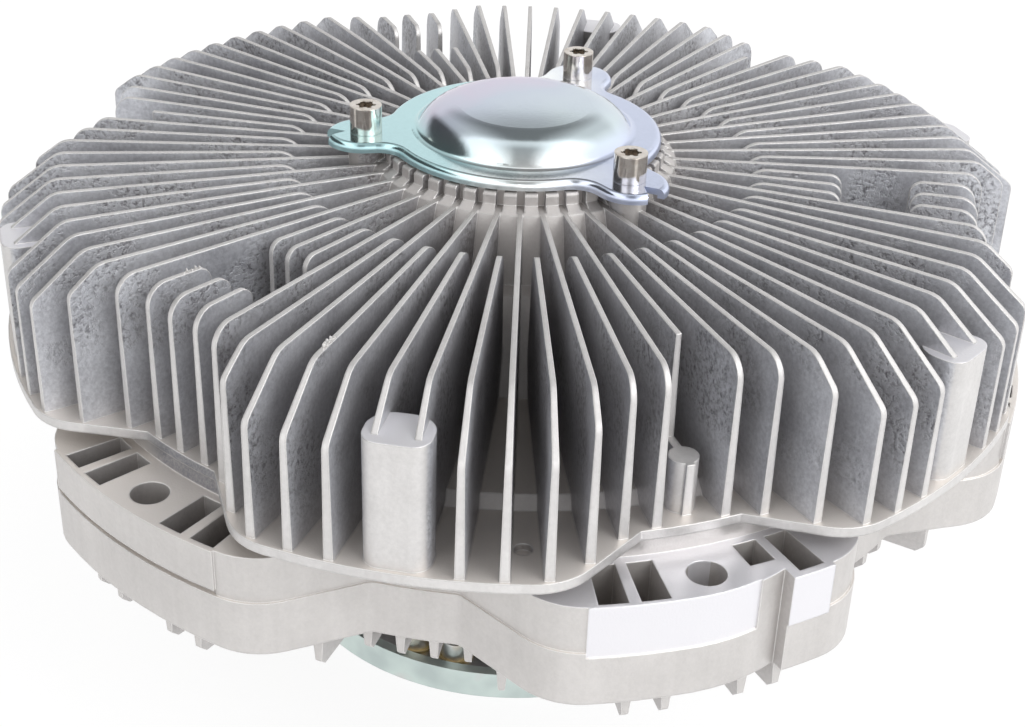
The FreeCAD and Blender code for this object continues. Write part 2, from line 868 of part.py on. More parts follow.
def rear_body():
    outline = body_outline()
    hub, bore = body_hub()
    casting = body_block().fuse([hub] + under_fins(outline)).removeSplitter()
    for deg in outlet_lug_degs:
        for cut in outlet_cuts():
            casting = casting.cut(turned(cut, deg))
        casting = casting.fuse(turned(outlet_block(), deg))
    parting_z = body_bottom_z + parting_height
    groove = sector(lug_r - groove_depth, lug_r + lap, face_pad_start_deg, face_pad_end_deg,
                    parting_z, parting_z + groove_height)
    cuts = [bore, drum(chamber_r, chamber_z, body_top_z + lap)]
    cuts += lug_pockets()
    cuts += round_copies(groove, window_lug_degs)
    for deg in lug_degs:
        cuts.append(drum(lug_hole_r, under_fin_z, body_top_z, polar(lug_hole_at_r, deg)))
    for deg in cover_screw_degs():
        centre = polar(cover_screw_at_r, deg)
        seat = body_bottom_z + counterbore_depth
        cuts.append(drum(counterbore_r, under_fin_z - lap, seat, centre))
        cuts.append(drum(cover_screw_r + clearance_hole_gap, seat - lap, body_top_z + lap, centre))
    return casting.cut(cuts)


# Domed cap, its gasket and its screws

def cap_outline(inset=0.0):
    """Plan of the cap: a disc with three blended ears, drawn in by an inset."""
    disc_r = cap_r - inset
    half = ear_half_width - inset
    tip_r = ear_tip_r - inset
    blend = ear_blend + inset
    centre_r = tip_r - half
    blend_y = half + blend
    blend_x = math.sqrt((disc_r + blend) ** 2 - blend_y ** 2)
    disc_end = Vector(blend_x, blend_y, 0) * (disc_r / (disc_r + blend))
    blend_middle_way = Vector(-blend_x, -blend_y, 0).normalize() + Vector(0, -1, 0)
    blend_middle = Vector(blend_x, blend_y, 0) + blend_middle_way.normalize() * blend

    edges = []
    for deg in ear_degs():
        ear = [
            Part.Arc(disc_end, blend_middle, Vector(blend_x, half, 0)).toShape(),
            Part.makeLine(Vector(blend_x, half, 0), Vector(centre_r, half, 0)),
        ]
        for edge in ear:
            edges.append(turned(edge, deg))
            edges.append(turned(edge.mirror(ORIGIN, Vector(0, 1, 0)), deg))
        tip = Part.Arc(Vector(centre_r, half, 0), Vector(tip_r, 0, 0), Vector(centre_r, -half, 0))
        edges.append(turned(tip.toShape(), deg))
        next_end = turned(Part.Vertex(disc_end.x, -disc_end.y, 0), 360 / ear_count).Point
        arc = Part.Arc(disc_end, polar(disc_r, 180 / ear_count), next_end)
        edges.append(turned(arc.toShape(), deg))
    return Part.Face(Part.Wire(Part.__sortEdges__(edges)))


def dome_section():
    """Closed section of the dome's sheet: crown, shoulder and foot arcs out and back."""
    foot_z = cap_top_z + dome_foot_round
    to_shoulder = polar(dome_foot_round + dome_shoulder_round, 270 - dome_flank_deg)
    shoulder_r = dome_foot_r + to_shoulder.x
    shoulder_z = foot_z + to_shoulder.y
    crown = math.radians(dome_crown_deg)
    crown_round = dome_shoulder_round + shoulder_r / math.sin(crown)
    crown_z = shoulder_z - shoulder_r / math.tan(crown)
    crown_end = 90 - dome_crown_deg
    flank_end = 90 - dome_flank_deg
    foot_start = 270 - dome_flank_deg
    return [
        (0, crown_z + crown_round - cap_thickness),
        corner(0, crown_z, crown_round - cap_thickness, 90, crown_end),
        corner(shoulder_r, shoulder_z, dome_shoulder_round - cap_thickness, crown_end, flank_end),
        corner(dome_foot_r, foot_z, dome_foot_round + cap_thickness, foot_start, 270),
        (dome_foot_r, cap_top_z),
        corner(dome_foot_r, foot_z, dome_foot_round, 270, foot_start),
        corner(shoulder_r, shoulder_z, dome_shoulder_round, flank_end, crown_end),
        corner(0, crown_z, crown_round, crown_end, 90),
    ]


def cap_plate():
    """Stamped cap: skirted plate with three notched ears and a raised dome."""
    skirt_z = cap_top_z - cap_skirt
    plate = raised(cap_outline(), skirt_z, cap_top_z)
    rim_edges = [edge for edge in plate.Edges if edge.BoundBox.ZMin > cap_top_z - lap]
    plate = plate.makeFillet(cap_edge_round, rim_edges)
    plate = plate.cut(raised(cap_outline(cap_thickness), skirt_z - lap, cap_under_z))
    cuts = [drum(dome_foot_r, skirt_z, cap_top_z + lap)]
    for deg in ear_degs():
        centre = polar(ear_screw_r, deg)
        cuts.append(drum(cap_screw_r + clearance_hole_gap, skirt_z, cap_top_z + lap, centre))
        cuts.append(turned(ear_notch(), deg))
    return plate.cut(cuts).fuse(spun(dome_section())).removeSplitter()


def ear_notch():
    """V-shaped notch in an ear's tip, drawn along +X."""
    tip = ear_tip_r + lap
    base = ear_tip_r - ear_notch_depth
    half = ear_notch_width / 2 * (1 + lap / ear_notch_depth)
    face = closed_face([(base, 0), (tip, -half), (tip, half)], upright=False)
    return raised(face, cap_top_z - cap_skirt - lap, cap_top_z + lap)


def cap_gasket():
    return tube(coil_bore_r, seat_r, seat_z, cap_under_z)


def lobe_socket(depth):
    """Six-lobe recess cutting down from Z = 0: a ring of six round flutes."""
    core_r = lobe_socket_r * lobe_socket_core
    core = drum(core_r, -depth, lap)
    flute = drum(lobe_socket_r * lobe_socket_flute, -depth, lap, Vector(core_r, 0, 0))
    return core.fuse(round_copies(flute, even_degs(6)))


def cap_screws():
    """Three bright cylinder-head screws with six-lobe recesses."""
    body = drum(cap_screw_r, -cap_screw_length + cap_thickness, 0)
    body = body.fuse(drum(cap_screw_head_r, 0, cap_screw_head)).removeSplitter()
    socket = lobe_socket(lobe_socket_depth)
    socket.translate(Vector(0, 0, cap_screw_head))
    one = body.cut(socket)
    return [placed(one, polar(ear_screw_r, deg, cap_top_z)) for deg in ear_degs()]


# Pieces that join and seal the two halves

def cover_screws():
    """Socket screws from below, sunk in the rear body and threaded into the cover."""
    length = body_top_z + cover_screw_bite - (body_bottom_z + counterbore_depth) - loose_gap
    one = screw(cover_screw_r, length, cover_screw_head_r, cover_screw_head)
    seat_z = body_bottom_z + counterbore_depth
    return [placed(one, polar(cover_screw_at_r, deg, seat_z), flipped=True) for deg in cover_screw_degs()]


def cover_seal_ring():
    low = cover_seal_z()
    return tube(spigot_r - seal_cord, spigot_r, low, low + seal_cord)


# Bearing, its seals and its circlip

def race_step(side):
    """Half-round raceway arc through the bearing's middle plane, on one side of the ball circle."""
    groove_r = ball_r + loose_gap
    middle_z = bearing_z + bearing_width / 2
    land_r = ball_circle_r + side * (bearing_section - 2 * bearing_land) / 2
    rise = math.sqrt(groove_r ** 2 - (land_r - ball_circle_r) ** 2)
    deepest = ball_circle_r + side * groove_r
    return land_r, middle_z, rise, deepest


def bearing_outer_ring():
    land_r, middle_z, rise, deepest = race_step(1)
    return spun([
        (bearing_outer_r, bearing_z), (bearing_outer_r, bearing_top_z), (land_r, bearing_top_z),
        (land_r, middle_z + rise), (deepest, middle_z, land_r, middle_z - rise), (land_r, bearing_z),
    ])


def bearing_inner_ring():
    land_r, middle_z, rise, deepest = race_step(-1)
    return spun([
        (bearing_bore_r, bearing_z), (bearing_bore_r, bearing_top_z), (land_r, bearing_top_z),
        (land_r, middle_z + rise), (deepest, middle_z, land_r, middle_z - rise), (land_r, bearing_z),
    ])


def bearing_balls():
    centre = Vector(ball_circle_r, 0, bearing_z + bearing_width / 2)
    ball = Part.makeSphere(ball_r, centre)
    return round_copies(ball, even_degs(ball_count))


def bearing_cage():
    """Solid cage with one round pocket per ball."""
    half = ball_r + cage_rim
    middle_z = bearing_z + bearing_width / 2
    ring = tube(ball_circle_r - cage_thickness / 2, ball_circle_r + cage_thickness / 2,
                middle_z - half, middle_z + half)
    pocket = Part.makeCylinder(ball_r + loose_gap, 2 * cage_thickness,
                               Vector(ball_circle_r - cage_thickness, 0, middle_z), Vector(1, 0, 0))
    return ring.cut(round_copies(pocket, even_degs(ball_count)))


def bearing_seals():
    """Thin shields held by the outer ring at both faces."""
    inner_r = race_step(-1)[0] + loose_gap
    outer_r = race_step(1)[0]
    lower = tube(inner_r, outer_r, bearing_z, bearing_z + shield_thickness)
    upper = tube(inner_r, outer_r, bearing_top_z - shield_thickness, bearing_top_z)
    return [lower, upper]


def bearing_circlip():
    """Open ring that holds the bearing in the hub."""
    outer_r = bearing_outer_r + circlip_depth
    return sector(outer_r - circlip_width, outer_r, circlip_opening / 2, 360 - circlip_opening / 2,
                  circlip_z, bearing_z)


def shaft_seal():
    """Lip seal between the hub bore and the rotor's hub."""
    lip_r = rotor_hub_r + running_gap
    wall = seal_wall / 4
    top = seal_z + seal_height
    return spun([
        (lip_r, seal_z), (seal_r, seal_z), (seal_r, top), (seal_r - wall, top),
        (seal_r - wall, seal_z + wall), (lip_r + wall, seal_z + wall), (lip_r + wall, top - wall),
        (lip_r, top - wall),
    ])


# Pieces of the driven input side

def hub_bolt_degs():
    return even_degs(hub_bolt_count, hub_bolt_phase)


def flange_screw_degs():
    """Pairs of screws midway between the hub bolts."""
    phases = (flange_screw_phase - flange_screw_spread, flange_screw_phase + flange_screw_spread)
    return [deg for phase in phases for deg in even_degs(hub_bolt_count, phase)]


def flange_holes(z0, z1, screw_hole_r):
    """Cutters for the holes through the ring or the shaft flange."""
    holes = [drum(hub_bolt_hole_r, z0, z1, polar(hub_bolt_r, deg)) for deg in hub_bolt_degs()]
    return holes + [drum(screw_hole_r, z0, z1, polar(flange_screw_r, deg)) for deg in flange_screw_degs()]


def mount_ring():
    """Zinc-plated ring whose rim stands up round the shaft flange."""
    ring = spun([
        (pilot_r, 0), (ring_r, 0), (ring_r, ring_height), (ring_recess_r, ring_height),
        (ring_recess_r, ring_plate), (pilot_r, ring_plate),
    ])
    return ring.cut(flange_holes(-lap, ring_plate + lap, flange_screw_shank_r))


def input_shaft():
    """Shaft with a flange at its foot, a bearing seat and a threaded end for the rotor."""
    boss_top_z = bearing_z - shaft_shoulder_height
    relief_z = rotor_hub_z - shaft_thread_relief
    thread_top_z = rotor_hub_z + nut_height + shaft_thread_proud
    shaft = spun([
        (0, ring_plate), (shaft_flange_r, ring_plate), (shaft_flange_r, flange_top_z),
        (shaft_boss_r + shaft_foot, flange_top_z), (shaft_boss_r, flange_top_z + shaft_foot),
        (shaft_boss_r, boss_top_z), (shaft_shoulder_r, boss_top_z), (shaft_shoulder_r, bearing_z),
        (bearing_bore_r, bearing_z), (bearing_bore_r, bearing_top_z), (rotor_seat_r, bearing_top_z),
        (rotor_seat_r, relief_z), (shaft_thread_r, relief_z),
        (shaft_thread_r, thread_top_z), (0, thread_top_z),
    ])
    return shaft.cut(flange_holes(ring_plate - lap, flange_top_z + lap,
                                  flange_screw_shank_r + clearance_hole_gap))


def flange_screws():
    length = flange_washer_thickness + shaft_flange_thickness + ring_plate - lap
    one = screw(flange_screw_shank_r, length, flange_screw_head_r, flange_screw_head)
    seat = flange_top_z + flange_washer_thickness
    return [placed(one, polar(flange_screw_r, deg, seat)) for deg in flange_screw_degs()]


def flange_washers():
    washer = tube(flange_screw_shank_r + clearance_hole_gap, flange_washer_r,
                  flange_top_z, flange_top_z + flange_washer_thickness)
    return [placed(washer, polar(flange_screw_r, deg)) for deg in flange_screw_degs()]


def rotor_disc():
    """Driven disc whose concentric lands run between the cover's lands."""
    web_z = rotor_z + rotor_web_lift
    nut_seat_r = rotor_hub_r + rotor_nut_seat - rotor_nut_slope
    disc = spun([
        (rotor_seat_r, bearing_top_z), (rotor_hub_r, bearing_top_z), (rotor_hub_r, web_z),
        (rotor_rim_r - rotor_web_lift, web_z), (rotor_rim_r, rotor_z), (rotor_r, rotor_z),
        (rotor_r, rotor_face_z), (rotor_rim_r + rotor_web, rotor_face_z),
        (rotor_rim_r, web_z + rotor_web), (nut_seat_r + rotor_nut_slope, web_z + rotor_web),
        (nut_seat_r, rotor_hub_z), (rotor_seat_r, rotor_hub_z),
    ])
    land_top_z = rotor_face_z + land_height
    lands = [tube(r - land_width / 2, r + land_width / 2, rotor_face_z - lap, land_top_z)
             for r in rotor_land_radii()]
    holes = [drum(rotor_hole_r, rotor_z - lap, rotor_face_z, polar(rotor_hole_at_r, deg))
             for deg in even_degs(rotor_hole_count)]
    return disc.fuse(lands).cut(holes).removeSplitter()


def rotor_nut():
    nut = hexagon(nut_flat, rotor_hub_z, rotor_hub_z + nut_height)
    return nut.cut(drum(shaft_thread_r, rotor_hub_z - lap, rotor_hub_z + nut_height + lap))


# Separator plate, valve and thermostat coil

def separator_plate():
    """Plate between reservoir and coupling chamber, with the port that the valve covers."""
    plate = drum(plate_r, plate_z, plate_top_z)
    cuts = [drum(port_r, plate_z - lap, plate_top_z + lap, Vector(port_at_r, 0, 0))]
    cuts += [drum(plate_screw_r + clearance_hole_gap, plate_z - lap, plate_top_z + lap,
                  polar(plate_screw_at_r, deg)) for deg in plate_screw_degs()]
    return plate.cut(cuts)


def separator_screws():
    length = plate_screw_length - loose_gap
    one = screw(plate_screw_r, length, plate_screw_head_r, plate_screw_head)
    return [placed(one, polar(plate_screw_at_r, deg, plate_z), flipped=True) for deg in plate_screw_degs()]


def valve_shaft():
    """Rod from the valve lever up through the cover's web into the coil."""
    return drum(valve_shaft_r, lever_z, web_top_z + valve_head_gap + coil_height)


def valve_lever():
    """Flat lever on the valve shaft, its pad lying over the port."""
    top_z = lever_z + lever_thickness
    hub = drum(2 * valve_shaft_r, lever_z, top_z)
    arm = Part.makeBox(port_at_r, lever_width, lever_thickness, Vector(0, -lever_width / 2, lever_z))
    pad = drum(lever_pad_r, lever_z, top_z, Vector(port_at_r, 0, 0))
    lever = hub.fuse([arm, pad]).removeSplitter()
    return lever.cut(drum(valve_shaft_r, lever_z - lap, top_z + lap))


def thermostat_coil():
    """Flat spiral strip of half-round arcs, its inner turn round the valve shaft."""
    inner = valve_shaft_r + loose_gap
    z = web_top_z + valve_head_gap
    sides = []
    for offset in (0.0, coil_strip):
        edges = []
        radius = inner + offset
        start = Vector(radius, 0, z)
        for half_turn in range(2 * coil_turns - 1):
            grown = radius + coil_pitch / 4
            sign = 1 if half_turn % 2 == 0 else -1
            centre_x = start.x - sign * grown
            end = Vector(centre_x - sign * grown, 0, z)
            edges.append(Part.Arc(start, Vector(centre_x, sign * grown, z), end).toShape())
            start = end
            radius = grown
        sides.append(edges)
    inside, outside = sides
    close_start = Part.makeLine(inside[0].Vertexes[0].Point, outside[0].Vertexes[0].Point)
    close_end = Part.makeLine(inside[-1].Vertexes[-1].Point, outside[-1].Vertexes[-1].Point)
    wire = Part.Wire(Part.__sortEdges__(inside + outside + [close_start, close_end]))
    return Part.Face(wire).extrude(Vector(0, 0, coil_height))


def export(node, shape):
    """Write one node; a list of solids becomes one file of separate solids."""
    solid = Part.makeCompound(shape) if isinstance(shape, list) else shape
    solid.exportStep("parts/" + node + ".step")


nodes = {
    "mount_ring": mount_ring,
    "input_shaft": input_shaft,
    "flange_screws": flange_screws,
    "flange_washers": flange_washers,
    "bearing_inner_ring": bearing_inner_ring,
    "rotor_disc": rotor_disc,
    "rotor_nut": rotor_nut,
    "bearing_cage": bearing_cage,
    "bearing_balls": bearing_balls,
    "bearing_outer_ring": bearing_outer_ring,
    "bearing_seals": bearing_seals,
    "bearing_circlip": bearing_circlip,
    "shaft_seal": shaft_seal,
    "rear_body": rear_body,
    "front_cover": front_cover,
    "cover_screws": cover_screws,
    "cover_seal_ring": cover_seal_ring,
    "separator_plate": separator_plate,
    "separator_screws": separator_screws,
    "valve_shaft": valve_shaft,
    "valve_lever": valve_lever,
    "thermostat_coil": thermostat_coil,
    "cap_gasket": cap_gasket,
    "cap_plate": cap_plate,
    "cap_screws": cap_screws,
}

for node, make in nodes.items():
    export(node, make())
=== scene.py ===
import math

import bpy
import numpy as np
from mathutils import Matrix, Vector


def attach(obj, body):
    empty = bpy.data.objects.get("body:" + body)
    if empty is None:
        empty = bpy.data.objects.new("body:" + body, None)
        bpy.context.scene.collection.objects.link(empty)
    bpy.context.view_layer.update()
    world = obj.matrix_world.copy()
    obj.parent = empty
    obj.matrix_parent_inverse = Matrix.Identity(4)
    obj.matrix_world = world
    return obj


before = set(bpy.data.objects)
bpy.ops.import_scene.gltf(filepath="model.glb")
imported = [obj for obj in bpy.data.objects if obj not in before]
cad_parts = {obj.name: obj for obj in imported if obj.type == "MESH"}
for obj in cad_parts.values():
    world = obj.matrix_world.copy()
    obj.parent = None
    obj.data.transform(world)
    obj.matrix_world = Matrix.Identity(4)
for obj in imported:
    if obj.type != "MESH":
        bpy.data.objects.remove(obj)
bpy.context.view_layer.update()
scene = bpy.context.scene
scene.view_settings.view_transform = "Standard"


# Camera: stands in front of the clutch and looks down on it at 30 degrees.
# Its tilt, lens and lean were worked out from the fins, which are evenly spaced.
camera_place = Vector((0, -0.50398, 0.37303))
camera_pitch = math.radians(30.0574)
camera_yaw = -0.00217202  # radians
camera_lean = 0.0345373  # radians

forward = Vector((math.sin(camera_yaw) * math.cos(camera_pitch),
                  math.cos(camera_yaw) * math.cos(camera_pitch),
                  -math.sin(camera_pitch)))
level = Vector((math.cos(camera_yaw), -math.sin(camera_yaw), 0))
above = level.cross(forward)
rightward = math.cos(camera_lean) * level + math.sin(camera_lean) * above
upward = math.cos(camera_lean) * above - math.sin(camera_lean) * level
camera_data = bpy.data.cameras.new("camera")
camera_data.sensor_width = 36
camera_data.lens = 59.757
camera = bpy.data.objects.new("camera", camera_data)
turn = Matrix((rightward, upward, -forward)).transposed().to_4x4()
camera.matrix_world = Matrix.Translation(camera_place) @ turn
scene.collection.objects.link(camera)
scene.camera = camera


# Input side: the turned steel shaft with its flange, and the nut on its end.
# The lathe leaves fine rings round the axis, which draw the light out sideways.
def linear(hex_colour):
    """A hex sRGB colour as linear values, with an alpha of 1."""
    values = [int(hex_colour[i:i + 2], 16) / 255 for i in (1, 3, 5)]
    return [v / 12.92 if v <= 0.04045 else ((v + 0.055) / 1.055) ** 2.4 for v in values] + [1.0]


def add_node(tree, kind, inputs=None, **settings):
    """A node with its settings. Each input is a value, a hex colour or another node's output."""
    node = tree.nodes.new(kind)
    for name, value in settings.items():
        setattr(node, name, value)
    for name, value in (inputs or {}).items():
        if isinstance(value, bpy.types.NodeSocket):
            tree.links.new(value, node.inputs[name])
        else:
            node.inputs[name].default_value = linear(value) if isinstance(value, str) else value
    return node


def noise(tree, place, scale, detail, roughness=0.5):
    """Cloudy pattern from 0 to 1, with a scale in clouds per metre."""
    return add_node(tree, "ShaderNodeTexNoise", {
        "Vector": place, "Scale": scale, "Detail": detail, "Roughness": roughness}).outputs["Fac"]


def remap(tree, value, start, end, low=0.0, high=1.0):
    """Value carried from start and end to low and high, and held there beyond them."""
    limits = {"From Min": start, "From Max": end, "To Min": low, "To Max": high}
    return add_node(tree, "ShaderNodeMapRange", {"Value": value, **limits}).outputs[0]


def mix_values(tree, share, first, second):
    """First value at a share of 0, second value at 1."""
    return add_node(tree, "ShaderNodeMix", {0: share, 2: first, 3: second}).outputs[0]


def mix_colours(tree, share, first, second):
    """First colour at a share of 0, second colour at 1."""
    mix = add_node(tree, "ShaderNodeMix", {0: share, 6: first, 7: second}, data_type="RGBA")
    return mix.outputs[2]


def ramp_colours(tree, value, steps):
    """Colours along a value, given as pairs of position and colour."""
    ramp = add_node(tree, "ShaderNodeValToRGB", {"Fac": value})
    for extra_step in steps[2:]:
        ramp.color_ramp.elements.new(extra_step[0])
    for element, (position, colour) in zip(ramp.color_ramp.elements, steps):
        element.position = position
        element.color = colour
    return ramp.outputs[0]


def bump(tree, height, strength, depth, normal=None):
    """Normal tilted by a height pattern, over the surface's own normal or a given one."""
    node = add_node(tree, "ShaderNodeBump",
                    {"Height": height, "Strength": strength, "Distance": depth})
    if normal is not None:
        tree.links.new(normal, node.inputs["Normal"])
    return node.outputs[0]


def new_material(name):
    """An empty node material, with its tree."""
    material = bpy.data.materials.new(name)
    material.use_nodes = True
    material.node_tree.nodes.clear()
    return material, material.node_tree


def set_surface(tree, shader, inputs):
    """The material's surface is this shader, with these inputs."""
    node = add_node(tree, shader, inputs)
    add_node(tree, "ShaderNodeOutputMaterial", {"Surface": node.outputs[0]})


def give(node, material):
    """Every slot of a CAD node's object takes this material."""
    mesh_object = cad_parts[node]
    if not mesh_object.material_slots:
        mesh_object.data.materials.append(material)
    for slot in mesh_object.material_slots:
        slot.link = "OBJECT"
        slot.material = material


def turned_metal(name, light, dark, roughness, ring_mm):
    """Metal from the lathe: rings round the axis in the bump, and a faint uneven tone."""
    ring_mm_at_scale_1 = 314
    material, tree = new_material(name)
    place = add_node(tree, "ShaderNodeTexCoord").outputs["Object"]
    rings = add_node(tree, "ShaderNodeTexWave", {
        "Vector": place, "Scale": ring_mm_at_scale_1 / ring_mm, "Distortion": 1.5, "Detail": 2.0},
        wave_type="RINGS", rings_direction="Z").outputs["Fac"]
    cloud = noise(tree, place, 60, 4)
    set_surface(tree, "ShaderNodeBsdfPrincipled", {
        "Base Color": mix_colours(tree, cloud, dark, light),
        "Metallic": 1.0,
        "Roughness": remap(tree, cloud, 0, 1, roughness - 0.06, roughness + 0.08),
        "Normal": bump(tree, rings, 0.25, 0.00004)})
    return material


turned_steel = turned_metal("turned_steel", "#B9BABB", "#9C9D9E", roughness=0.32, ring_mm=1.0)
give("input_shaft", turned_steel)
give("rotor_nut", turned_steel)


# Mounting ring and the screws on the flange: pressed and turned steel, zinc plated.
# Clear blue passivation gives pale green and pink patches, and the washers are yellow.
def plated(name, tints, roughness, patch_mm):
    """Plate in three tints, in soft patches over a fine grain."""
    material, tree = new_material(name)
    place = add_node(tree, "ShaderNodeTexCoord").outputs["Object"]
    cloud = noise(tree, place, 1000 / patch_mm, 3, 0.55)
    grain = noise(tree, place, 1400, 3)
    edge = add_node(tree, "ShaderNodeBevel", {"Radius": 0.0004}, samples=4).outputs[0]
    steps = [(position, linear(tint)) for position, tint in zip((0.36, 0.5, 0.64), tints)]
    set_surface(tree, "ShaderNodeBsdfPrincipled", {
        "Base Color": ramp_colours(tree, cloud, steps),
        "Metallic": 1.0,
        "Roughness": remap(tree, grain, 0, 1, roughness - 0.05, roughness + 0.07),
        "Normal": bump(tree, grain, 0.2, 0.00005, edge)})
    return material


give("mount_ring", plated(
    "green_zinc_plate", ("#BDC9C7", "#CFDCD8", "#D2C9CA"), roughness=0.36, patch_mm=28))
pale_zinc = plated("pale_zinc_plate", ("#CFD3D2", "#D9DBD9", "#D3CBBE"), roughness=0.34, patch_mm=9)
give("flange_screws", pale_zinc)
give("flange_washers", plated(
    "yellow_zinc_plate", ("#C2A66B", "#CDB88A", "#B99F76"), roughness=0.36, patch_mm=7))


# Bearing: ground hard steel rings and balls, a turned brass cage and pressed shields.
# The circlip is blackened spring steel, as is the thermostat's coil above.
ground_steel = turned_metal(
    "ground_bearing_steel", "#CBCCCE", "#B8B9BB", roughness=0.16, ring_mm=0.4)
for ground_node in ("bearing_inner_ring", "bearing_outer_ring", "bearing_balls"):
    give(ground_node, ground_steel)
give("bearing_cage", turned_metal(
    "turned_brass", "#C9A75C", "#AD8A45", roughness=0.28, ring_mm=0.8))
give("bearing_seals", turned_steel)
spring_steel = turned_metal(
    "blackened_spring_steel", "#5B5B5E", "#3F3F42", roughness=0.38, ring_mm=0.8)
give("bearing_circlip", spring_steel)
give("thermostat_coil", spring_steel)


# Shaft seal, the ring between the two halves and the cap's gasket: moulded nitrile rubber.
# Matt black with a fine cloudy bloom from the mould.
def nitrile_rubber():
    """Black rubber, paler where it has bloomed, over a fine grain."""
    material, tree = new_material("nitrile_rubber")
    place = add_node(tree, "ShaderNodeTexCoord").outputs["Object"]
    set_surface(tree, "ShaderNodeBsdfPrincipled", {
        "Base Color": mix_colours(tree, noise(tree, place, 180, 5), "#141414", "#2B2B2C"),
        "Roughness": 0.68,
        "IOR": 1.52,
        "Normal": bump(tree, noise(tree, place, 2500, 2), 0.3, 0.00004)})
    return material


rubber = nitrile_rubber()
for sealing_node in ("shaft_seal", "cover_seal_ring", "cap_gasket"):
    give(sealing_node, rubber)


# Rotor, separator plate and valve, which run in silicone fluid inside the closed housing.
# The rotor is turned aluminium, the plate is stamped steel and the valve is plain bright steel.
give("rotor_disc", turned_metal(
    "turned_aluminium", "#D3D3D2", "#BFBFBE", roughness=0.3, ring_mm=1.2))
for inner_node in ("separator_plate", "valve_shaft", "valve_lever"):
    give(inner_node, turned_steel)
for screw_node in ("separator_screws", "cover_screws"):
    give(screw_node, pale_zinc)


# Rear body and finned cover: two pressure-die-cast aluminium castings, screwed together at the rim.
# The skin is light grey with flow marks and edge wear, with painted highlights on the edges,
# painted light on the floor and painted shade between the fins.
outlet_lug_deg = -70.29
fin_step_deg = 360 / 90
height_margin = 0.0002


def calculate(tree, operation, *values):
    """Result of one operation on numbers."""
    return add_node(tree, "ShaderNodeMath", dict(enumerate(values)), operation=operation).outputs[0]


def calculate_vector(tree, operation, *vectors):
    """Result of one operation on vectors: a vector, or a number where that is what it gives."""
    node = add_node(tree, "ShaderNodeVectorMath", dict(enumerate(vectors)), operation=operation)
    return node.outputs["Value" if operation in ("LENGTH", "DISTANCE", "DOT_PRODUCT") else "Vector"]


def both(tree, first, second):
    """Mask where two masks overlap."""
    return calculate(tree, "MULTIPLY", first, second)


def either(tree, first, second):
    """Mask where at least one of two masks holds."""
    return calculate(tree, "MAXIMUM", first, second)


def near(tree, value, middle, half):
    """Mask where a value lies within half of the middle."""
    return calculate(tree, "COMPARE", value, middle, half)


def surface_frame(tree):
    """Sockets that the castings' masks share: place, coordinates, and how the surface faces.

    outward is 1 on walls that face away from the axis, and level is a mask for faces that look up.
    along is 1 or -1 on the flanks of radial fins, whose normals follow the circle round the axis.
    The normal is the piece's own, so the masks turn with the housing.
    """
    coordinates = add_node(tree, "ShaderNodeTexCoord")
    place, normal = coordinates.outputs["Object"], coordinates.outputs["Normal"]
    axis = (0, 0, 1)
    parts = add_node(tree, "ShaderNodeSeparateXYZ", {0: place})
    from_axis = calculate_vector(tree, "MULTIPLY", place, (1, 1, 0))
    away = calculate_vector(tree, "NORMALIZE", from_axis)
    round_way = calculate_vector(tree, "CROSS_PRODUCT", away, axis)
    up_share = calculate_vector(tree, "DOT_PRODUCT", normal, axis)
    return {
        "place": place,
        "x": parts.outputs[0],
        "y": parts.outputs[1],
        "z": parts.outputs[2],
        "reach": calculate_vector(tree, "LENGTH", from_axis),
        "outward": calculate_vector(tree, "DOT_PRODUCT", away, normal),
        "along": calculate_vector(tree, "DOT_PRODUCT", round_way, normal),
        "level": near(tree, up_share, 1, 0.1),
    }


def body_cuts(tree, at):
    """Mask for what a cutter has been over on the body: the outlet lugs' tops and their outer pads.

    The azimuth is folded onto one outlet lug, which repeats every 120 degrees.
    """
    lug_top, pad_middle, pad_half, pad_reach = 0.104, 0.096, 0.0079, 0.1485
    azimuth = calculate(tree, "ARCTAN2", at["y"], at["x"])
    from_lug = calculate(tree, "ADD", azimuth, math.radians(-outlet_lug_deg))
    folded = calculate(tree, "WRAP", from_lug, math.pi / 3, -math.pi / 3)

    def within(start_deg, end_deg):
        """Mask between two angles from the middle of the lug."""
        middle, half = math.radians(start_deg + end_deg) / 2, math.radians(end_deg - start_deg) / 2
        return near(tree, folded, middle, half)

    top = both(tree, at["level"], near(tree, at["z"], lug_top, height_margin))
    wall = both(tree, near(tree, at["outward"], 1, 0.2), near(tree, at["z"], pad_middle, pad_half))
    outside = calculate(tree, "GREATER_THAN", at["reach"], pad_reach)
    pads = both(tree, either(tree, within(-12.4, 4.6), within(7.5, 12.2)), wall)
    return either(tree, both(tree, top, within(-26, 26)), both(tree, pads, outside))


def cover_cuts(tree, at):
    """Mask for what a cutter has been over on the cover: the tops of the six bare bosses."""
    boss_top = 0.150
    return both(tree, at["level"], near(tree, at["z"], boss_top, height_margin))


def scuffed_wall(tree, at):
    """Mask for the low wall over the front left lug, scuffed and speckled by a fan bolt's tool."""
    wall_middle, wall_half = 0.1083, 0.0040
    scuff_middle, scuff_inner, scuff_outer = (-0.0885, -0.1125, 0.108), 0.014, 0.024
    on_wall = near(tree, at["z"], wall_middle, wall_half)
    wall = both(tree, near(tree, at["outward"], 1, 0.3), on_wall)
    away = calculate_vector(tree, "DISTANCE", at["place"], scuff_middle)
    here = remap(tree, away, scuff_outer, scuff_inner)
    speck = remap(tree, noise(tree, at["place"], 1500, 3, 0.7), 0.42, 0.62, 0.85, 0.4)
    return both(tree, both(tree, wall, here), speck)


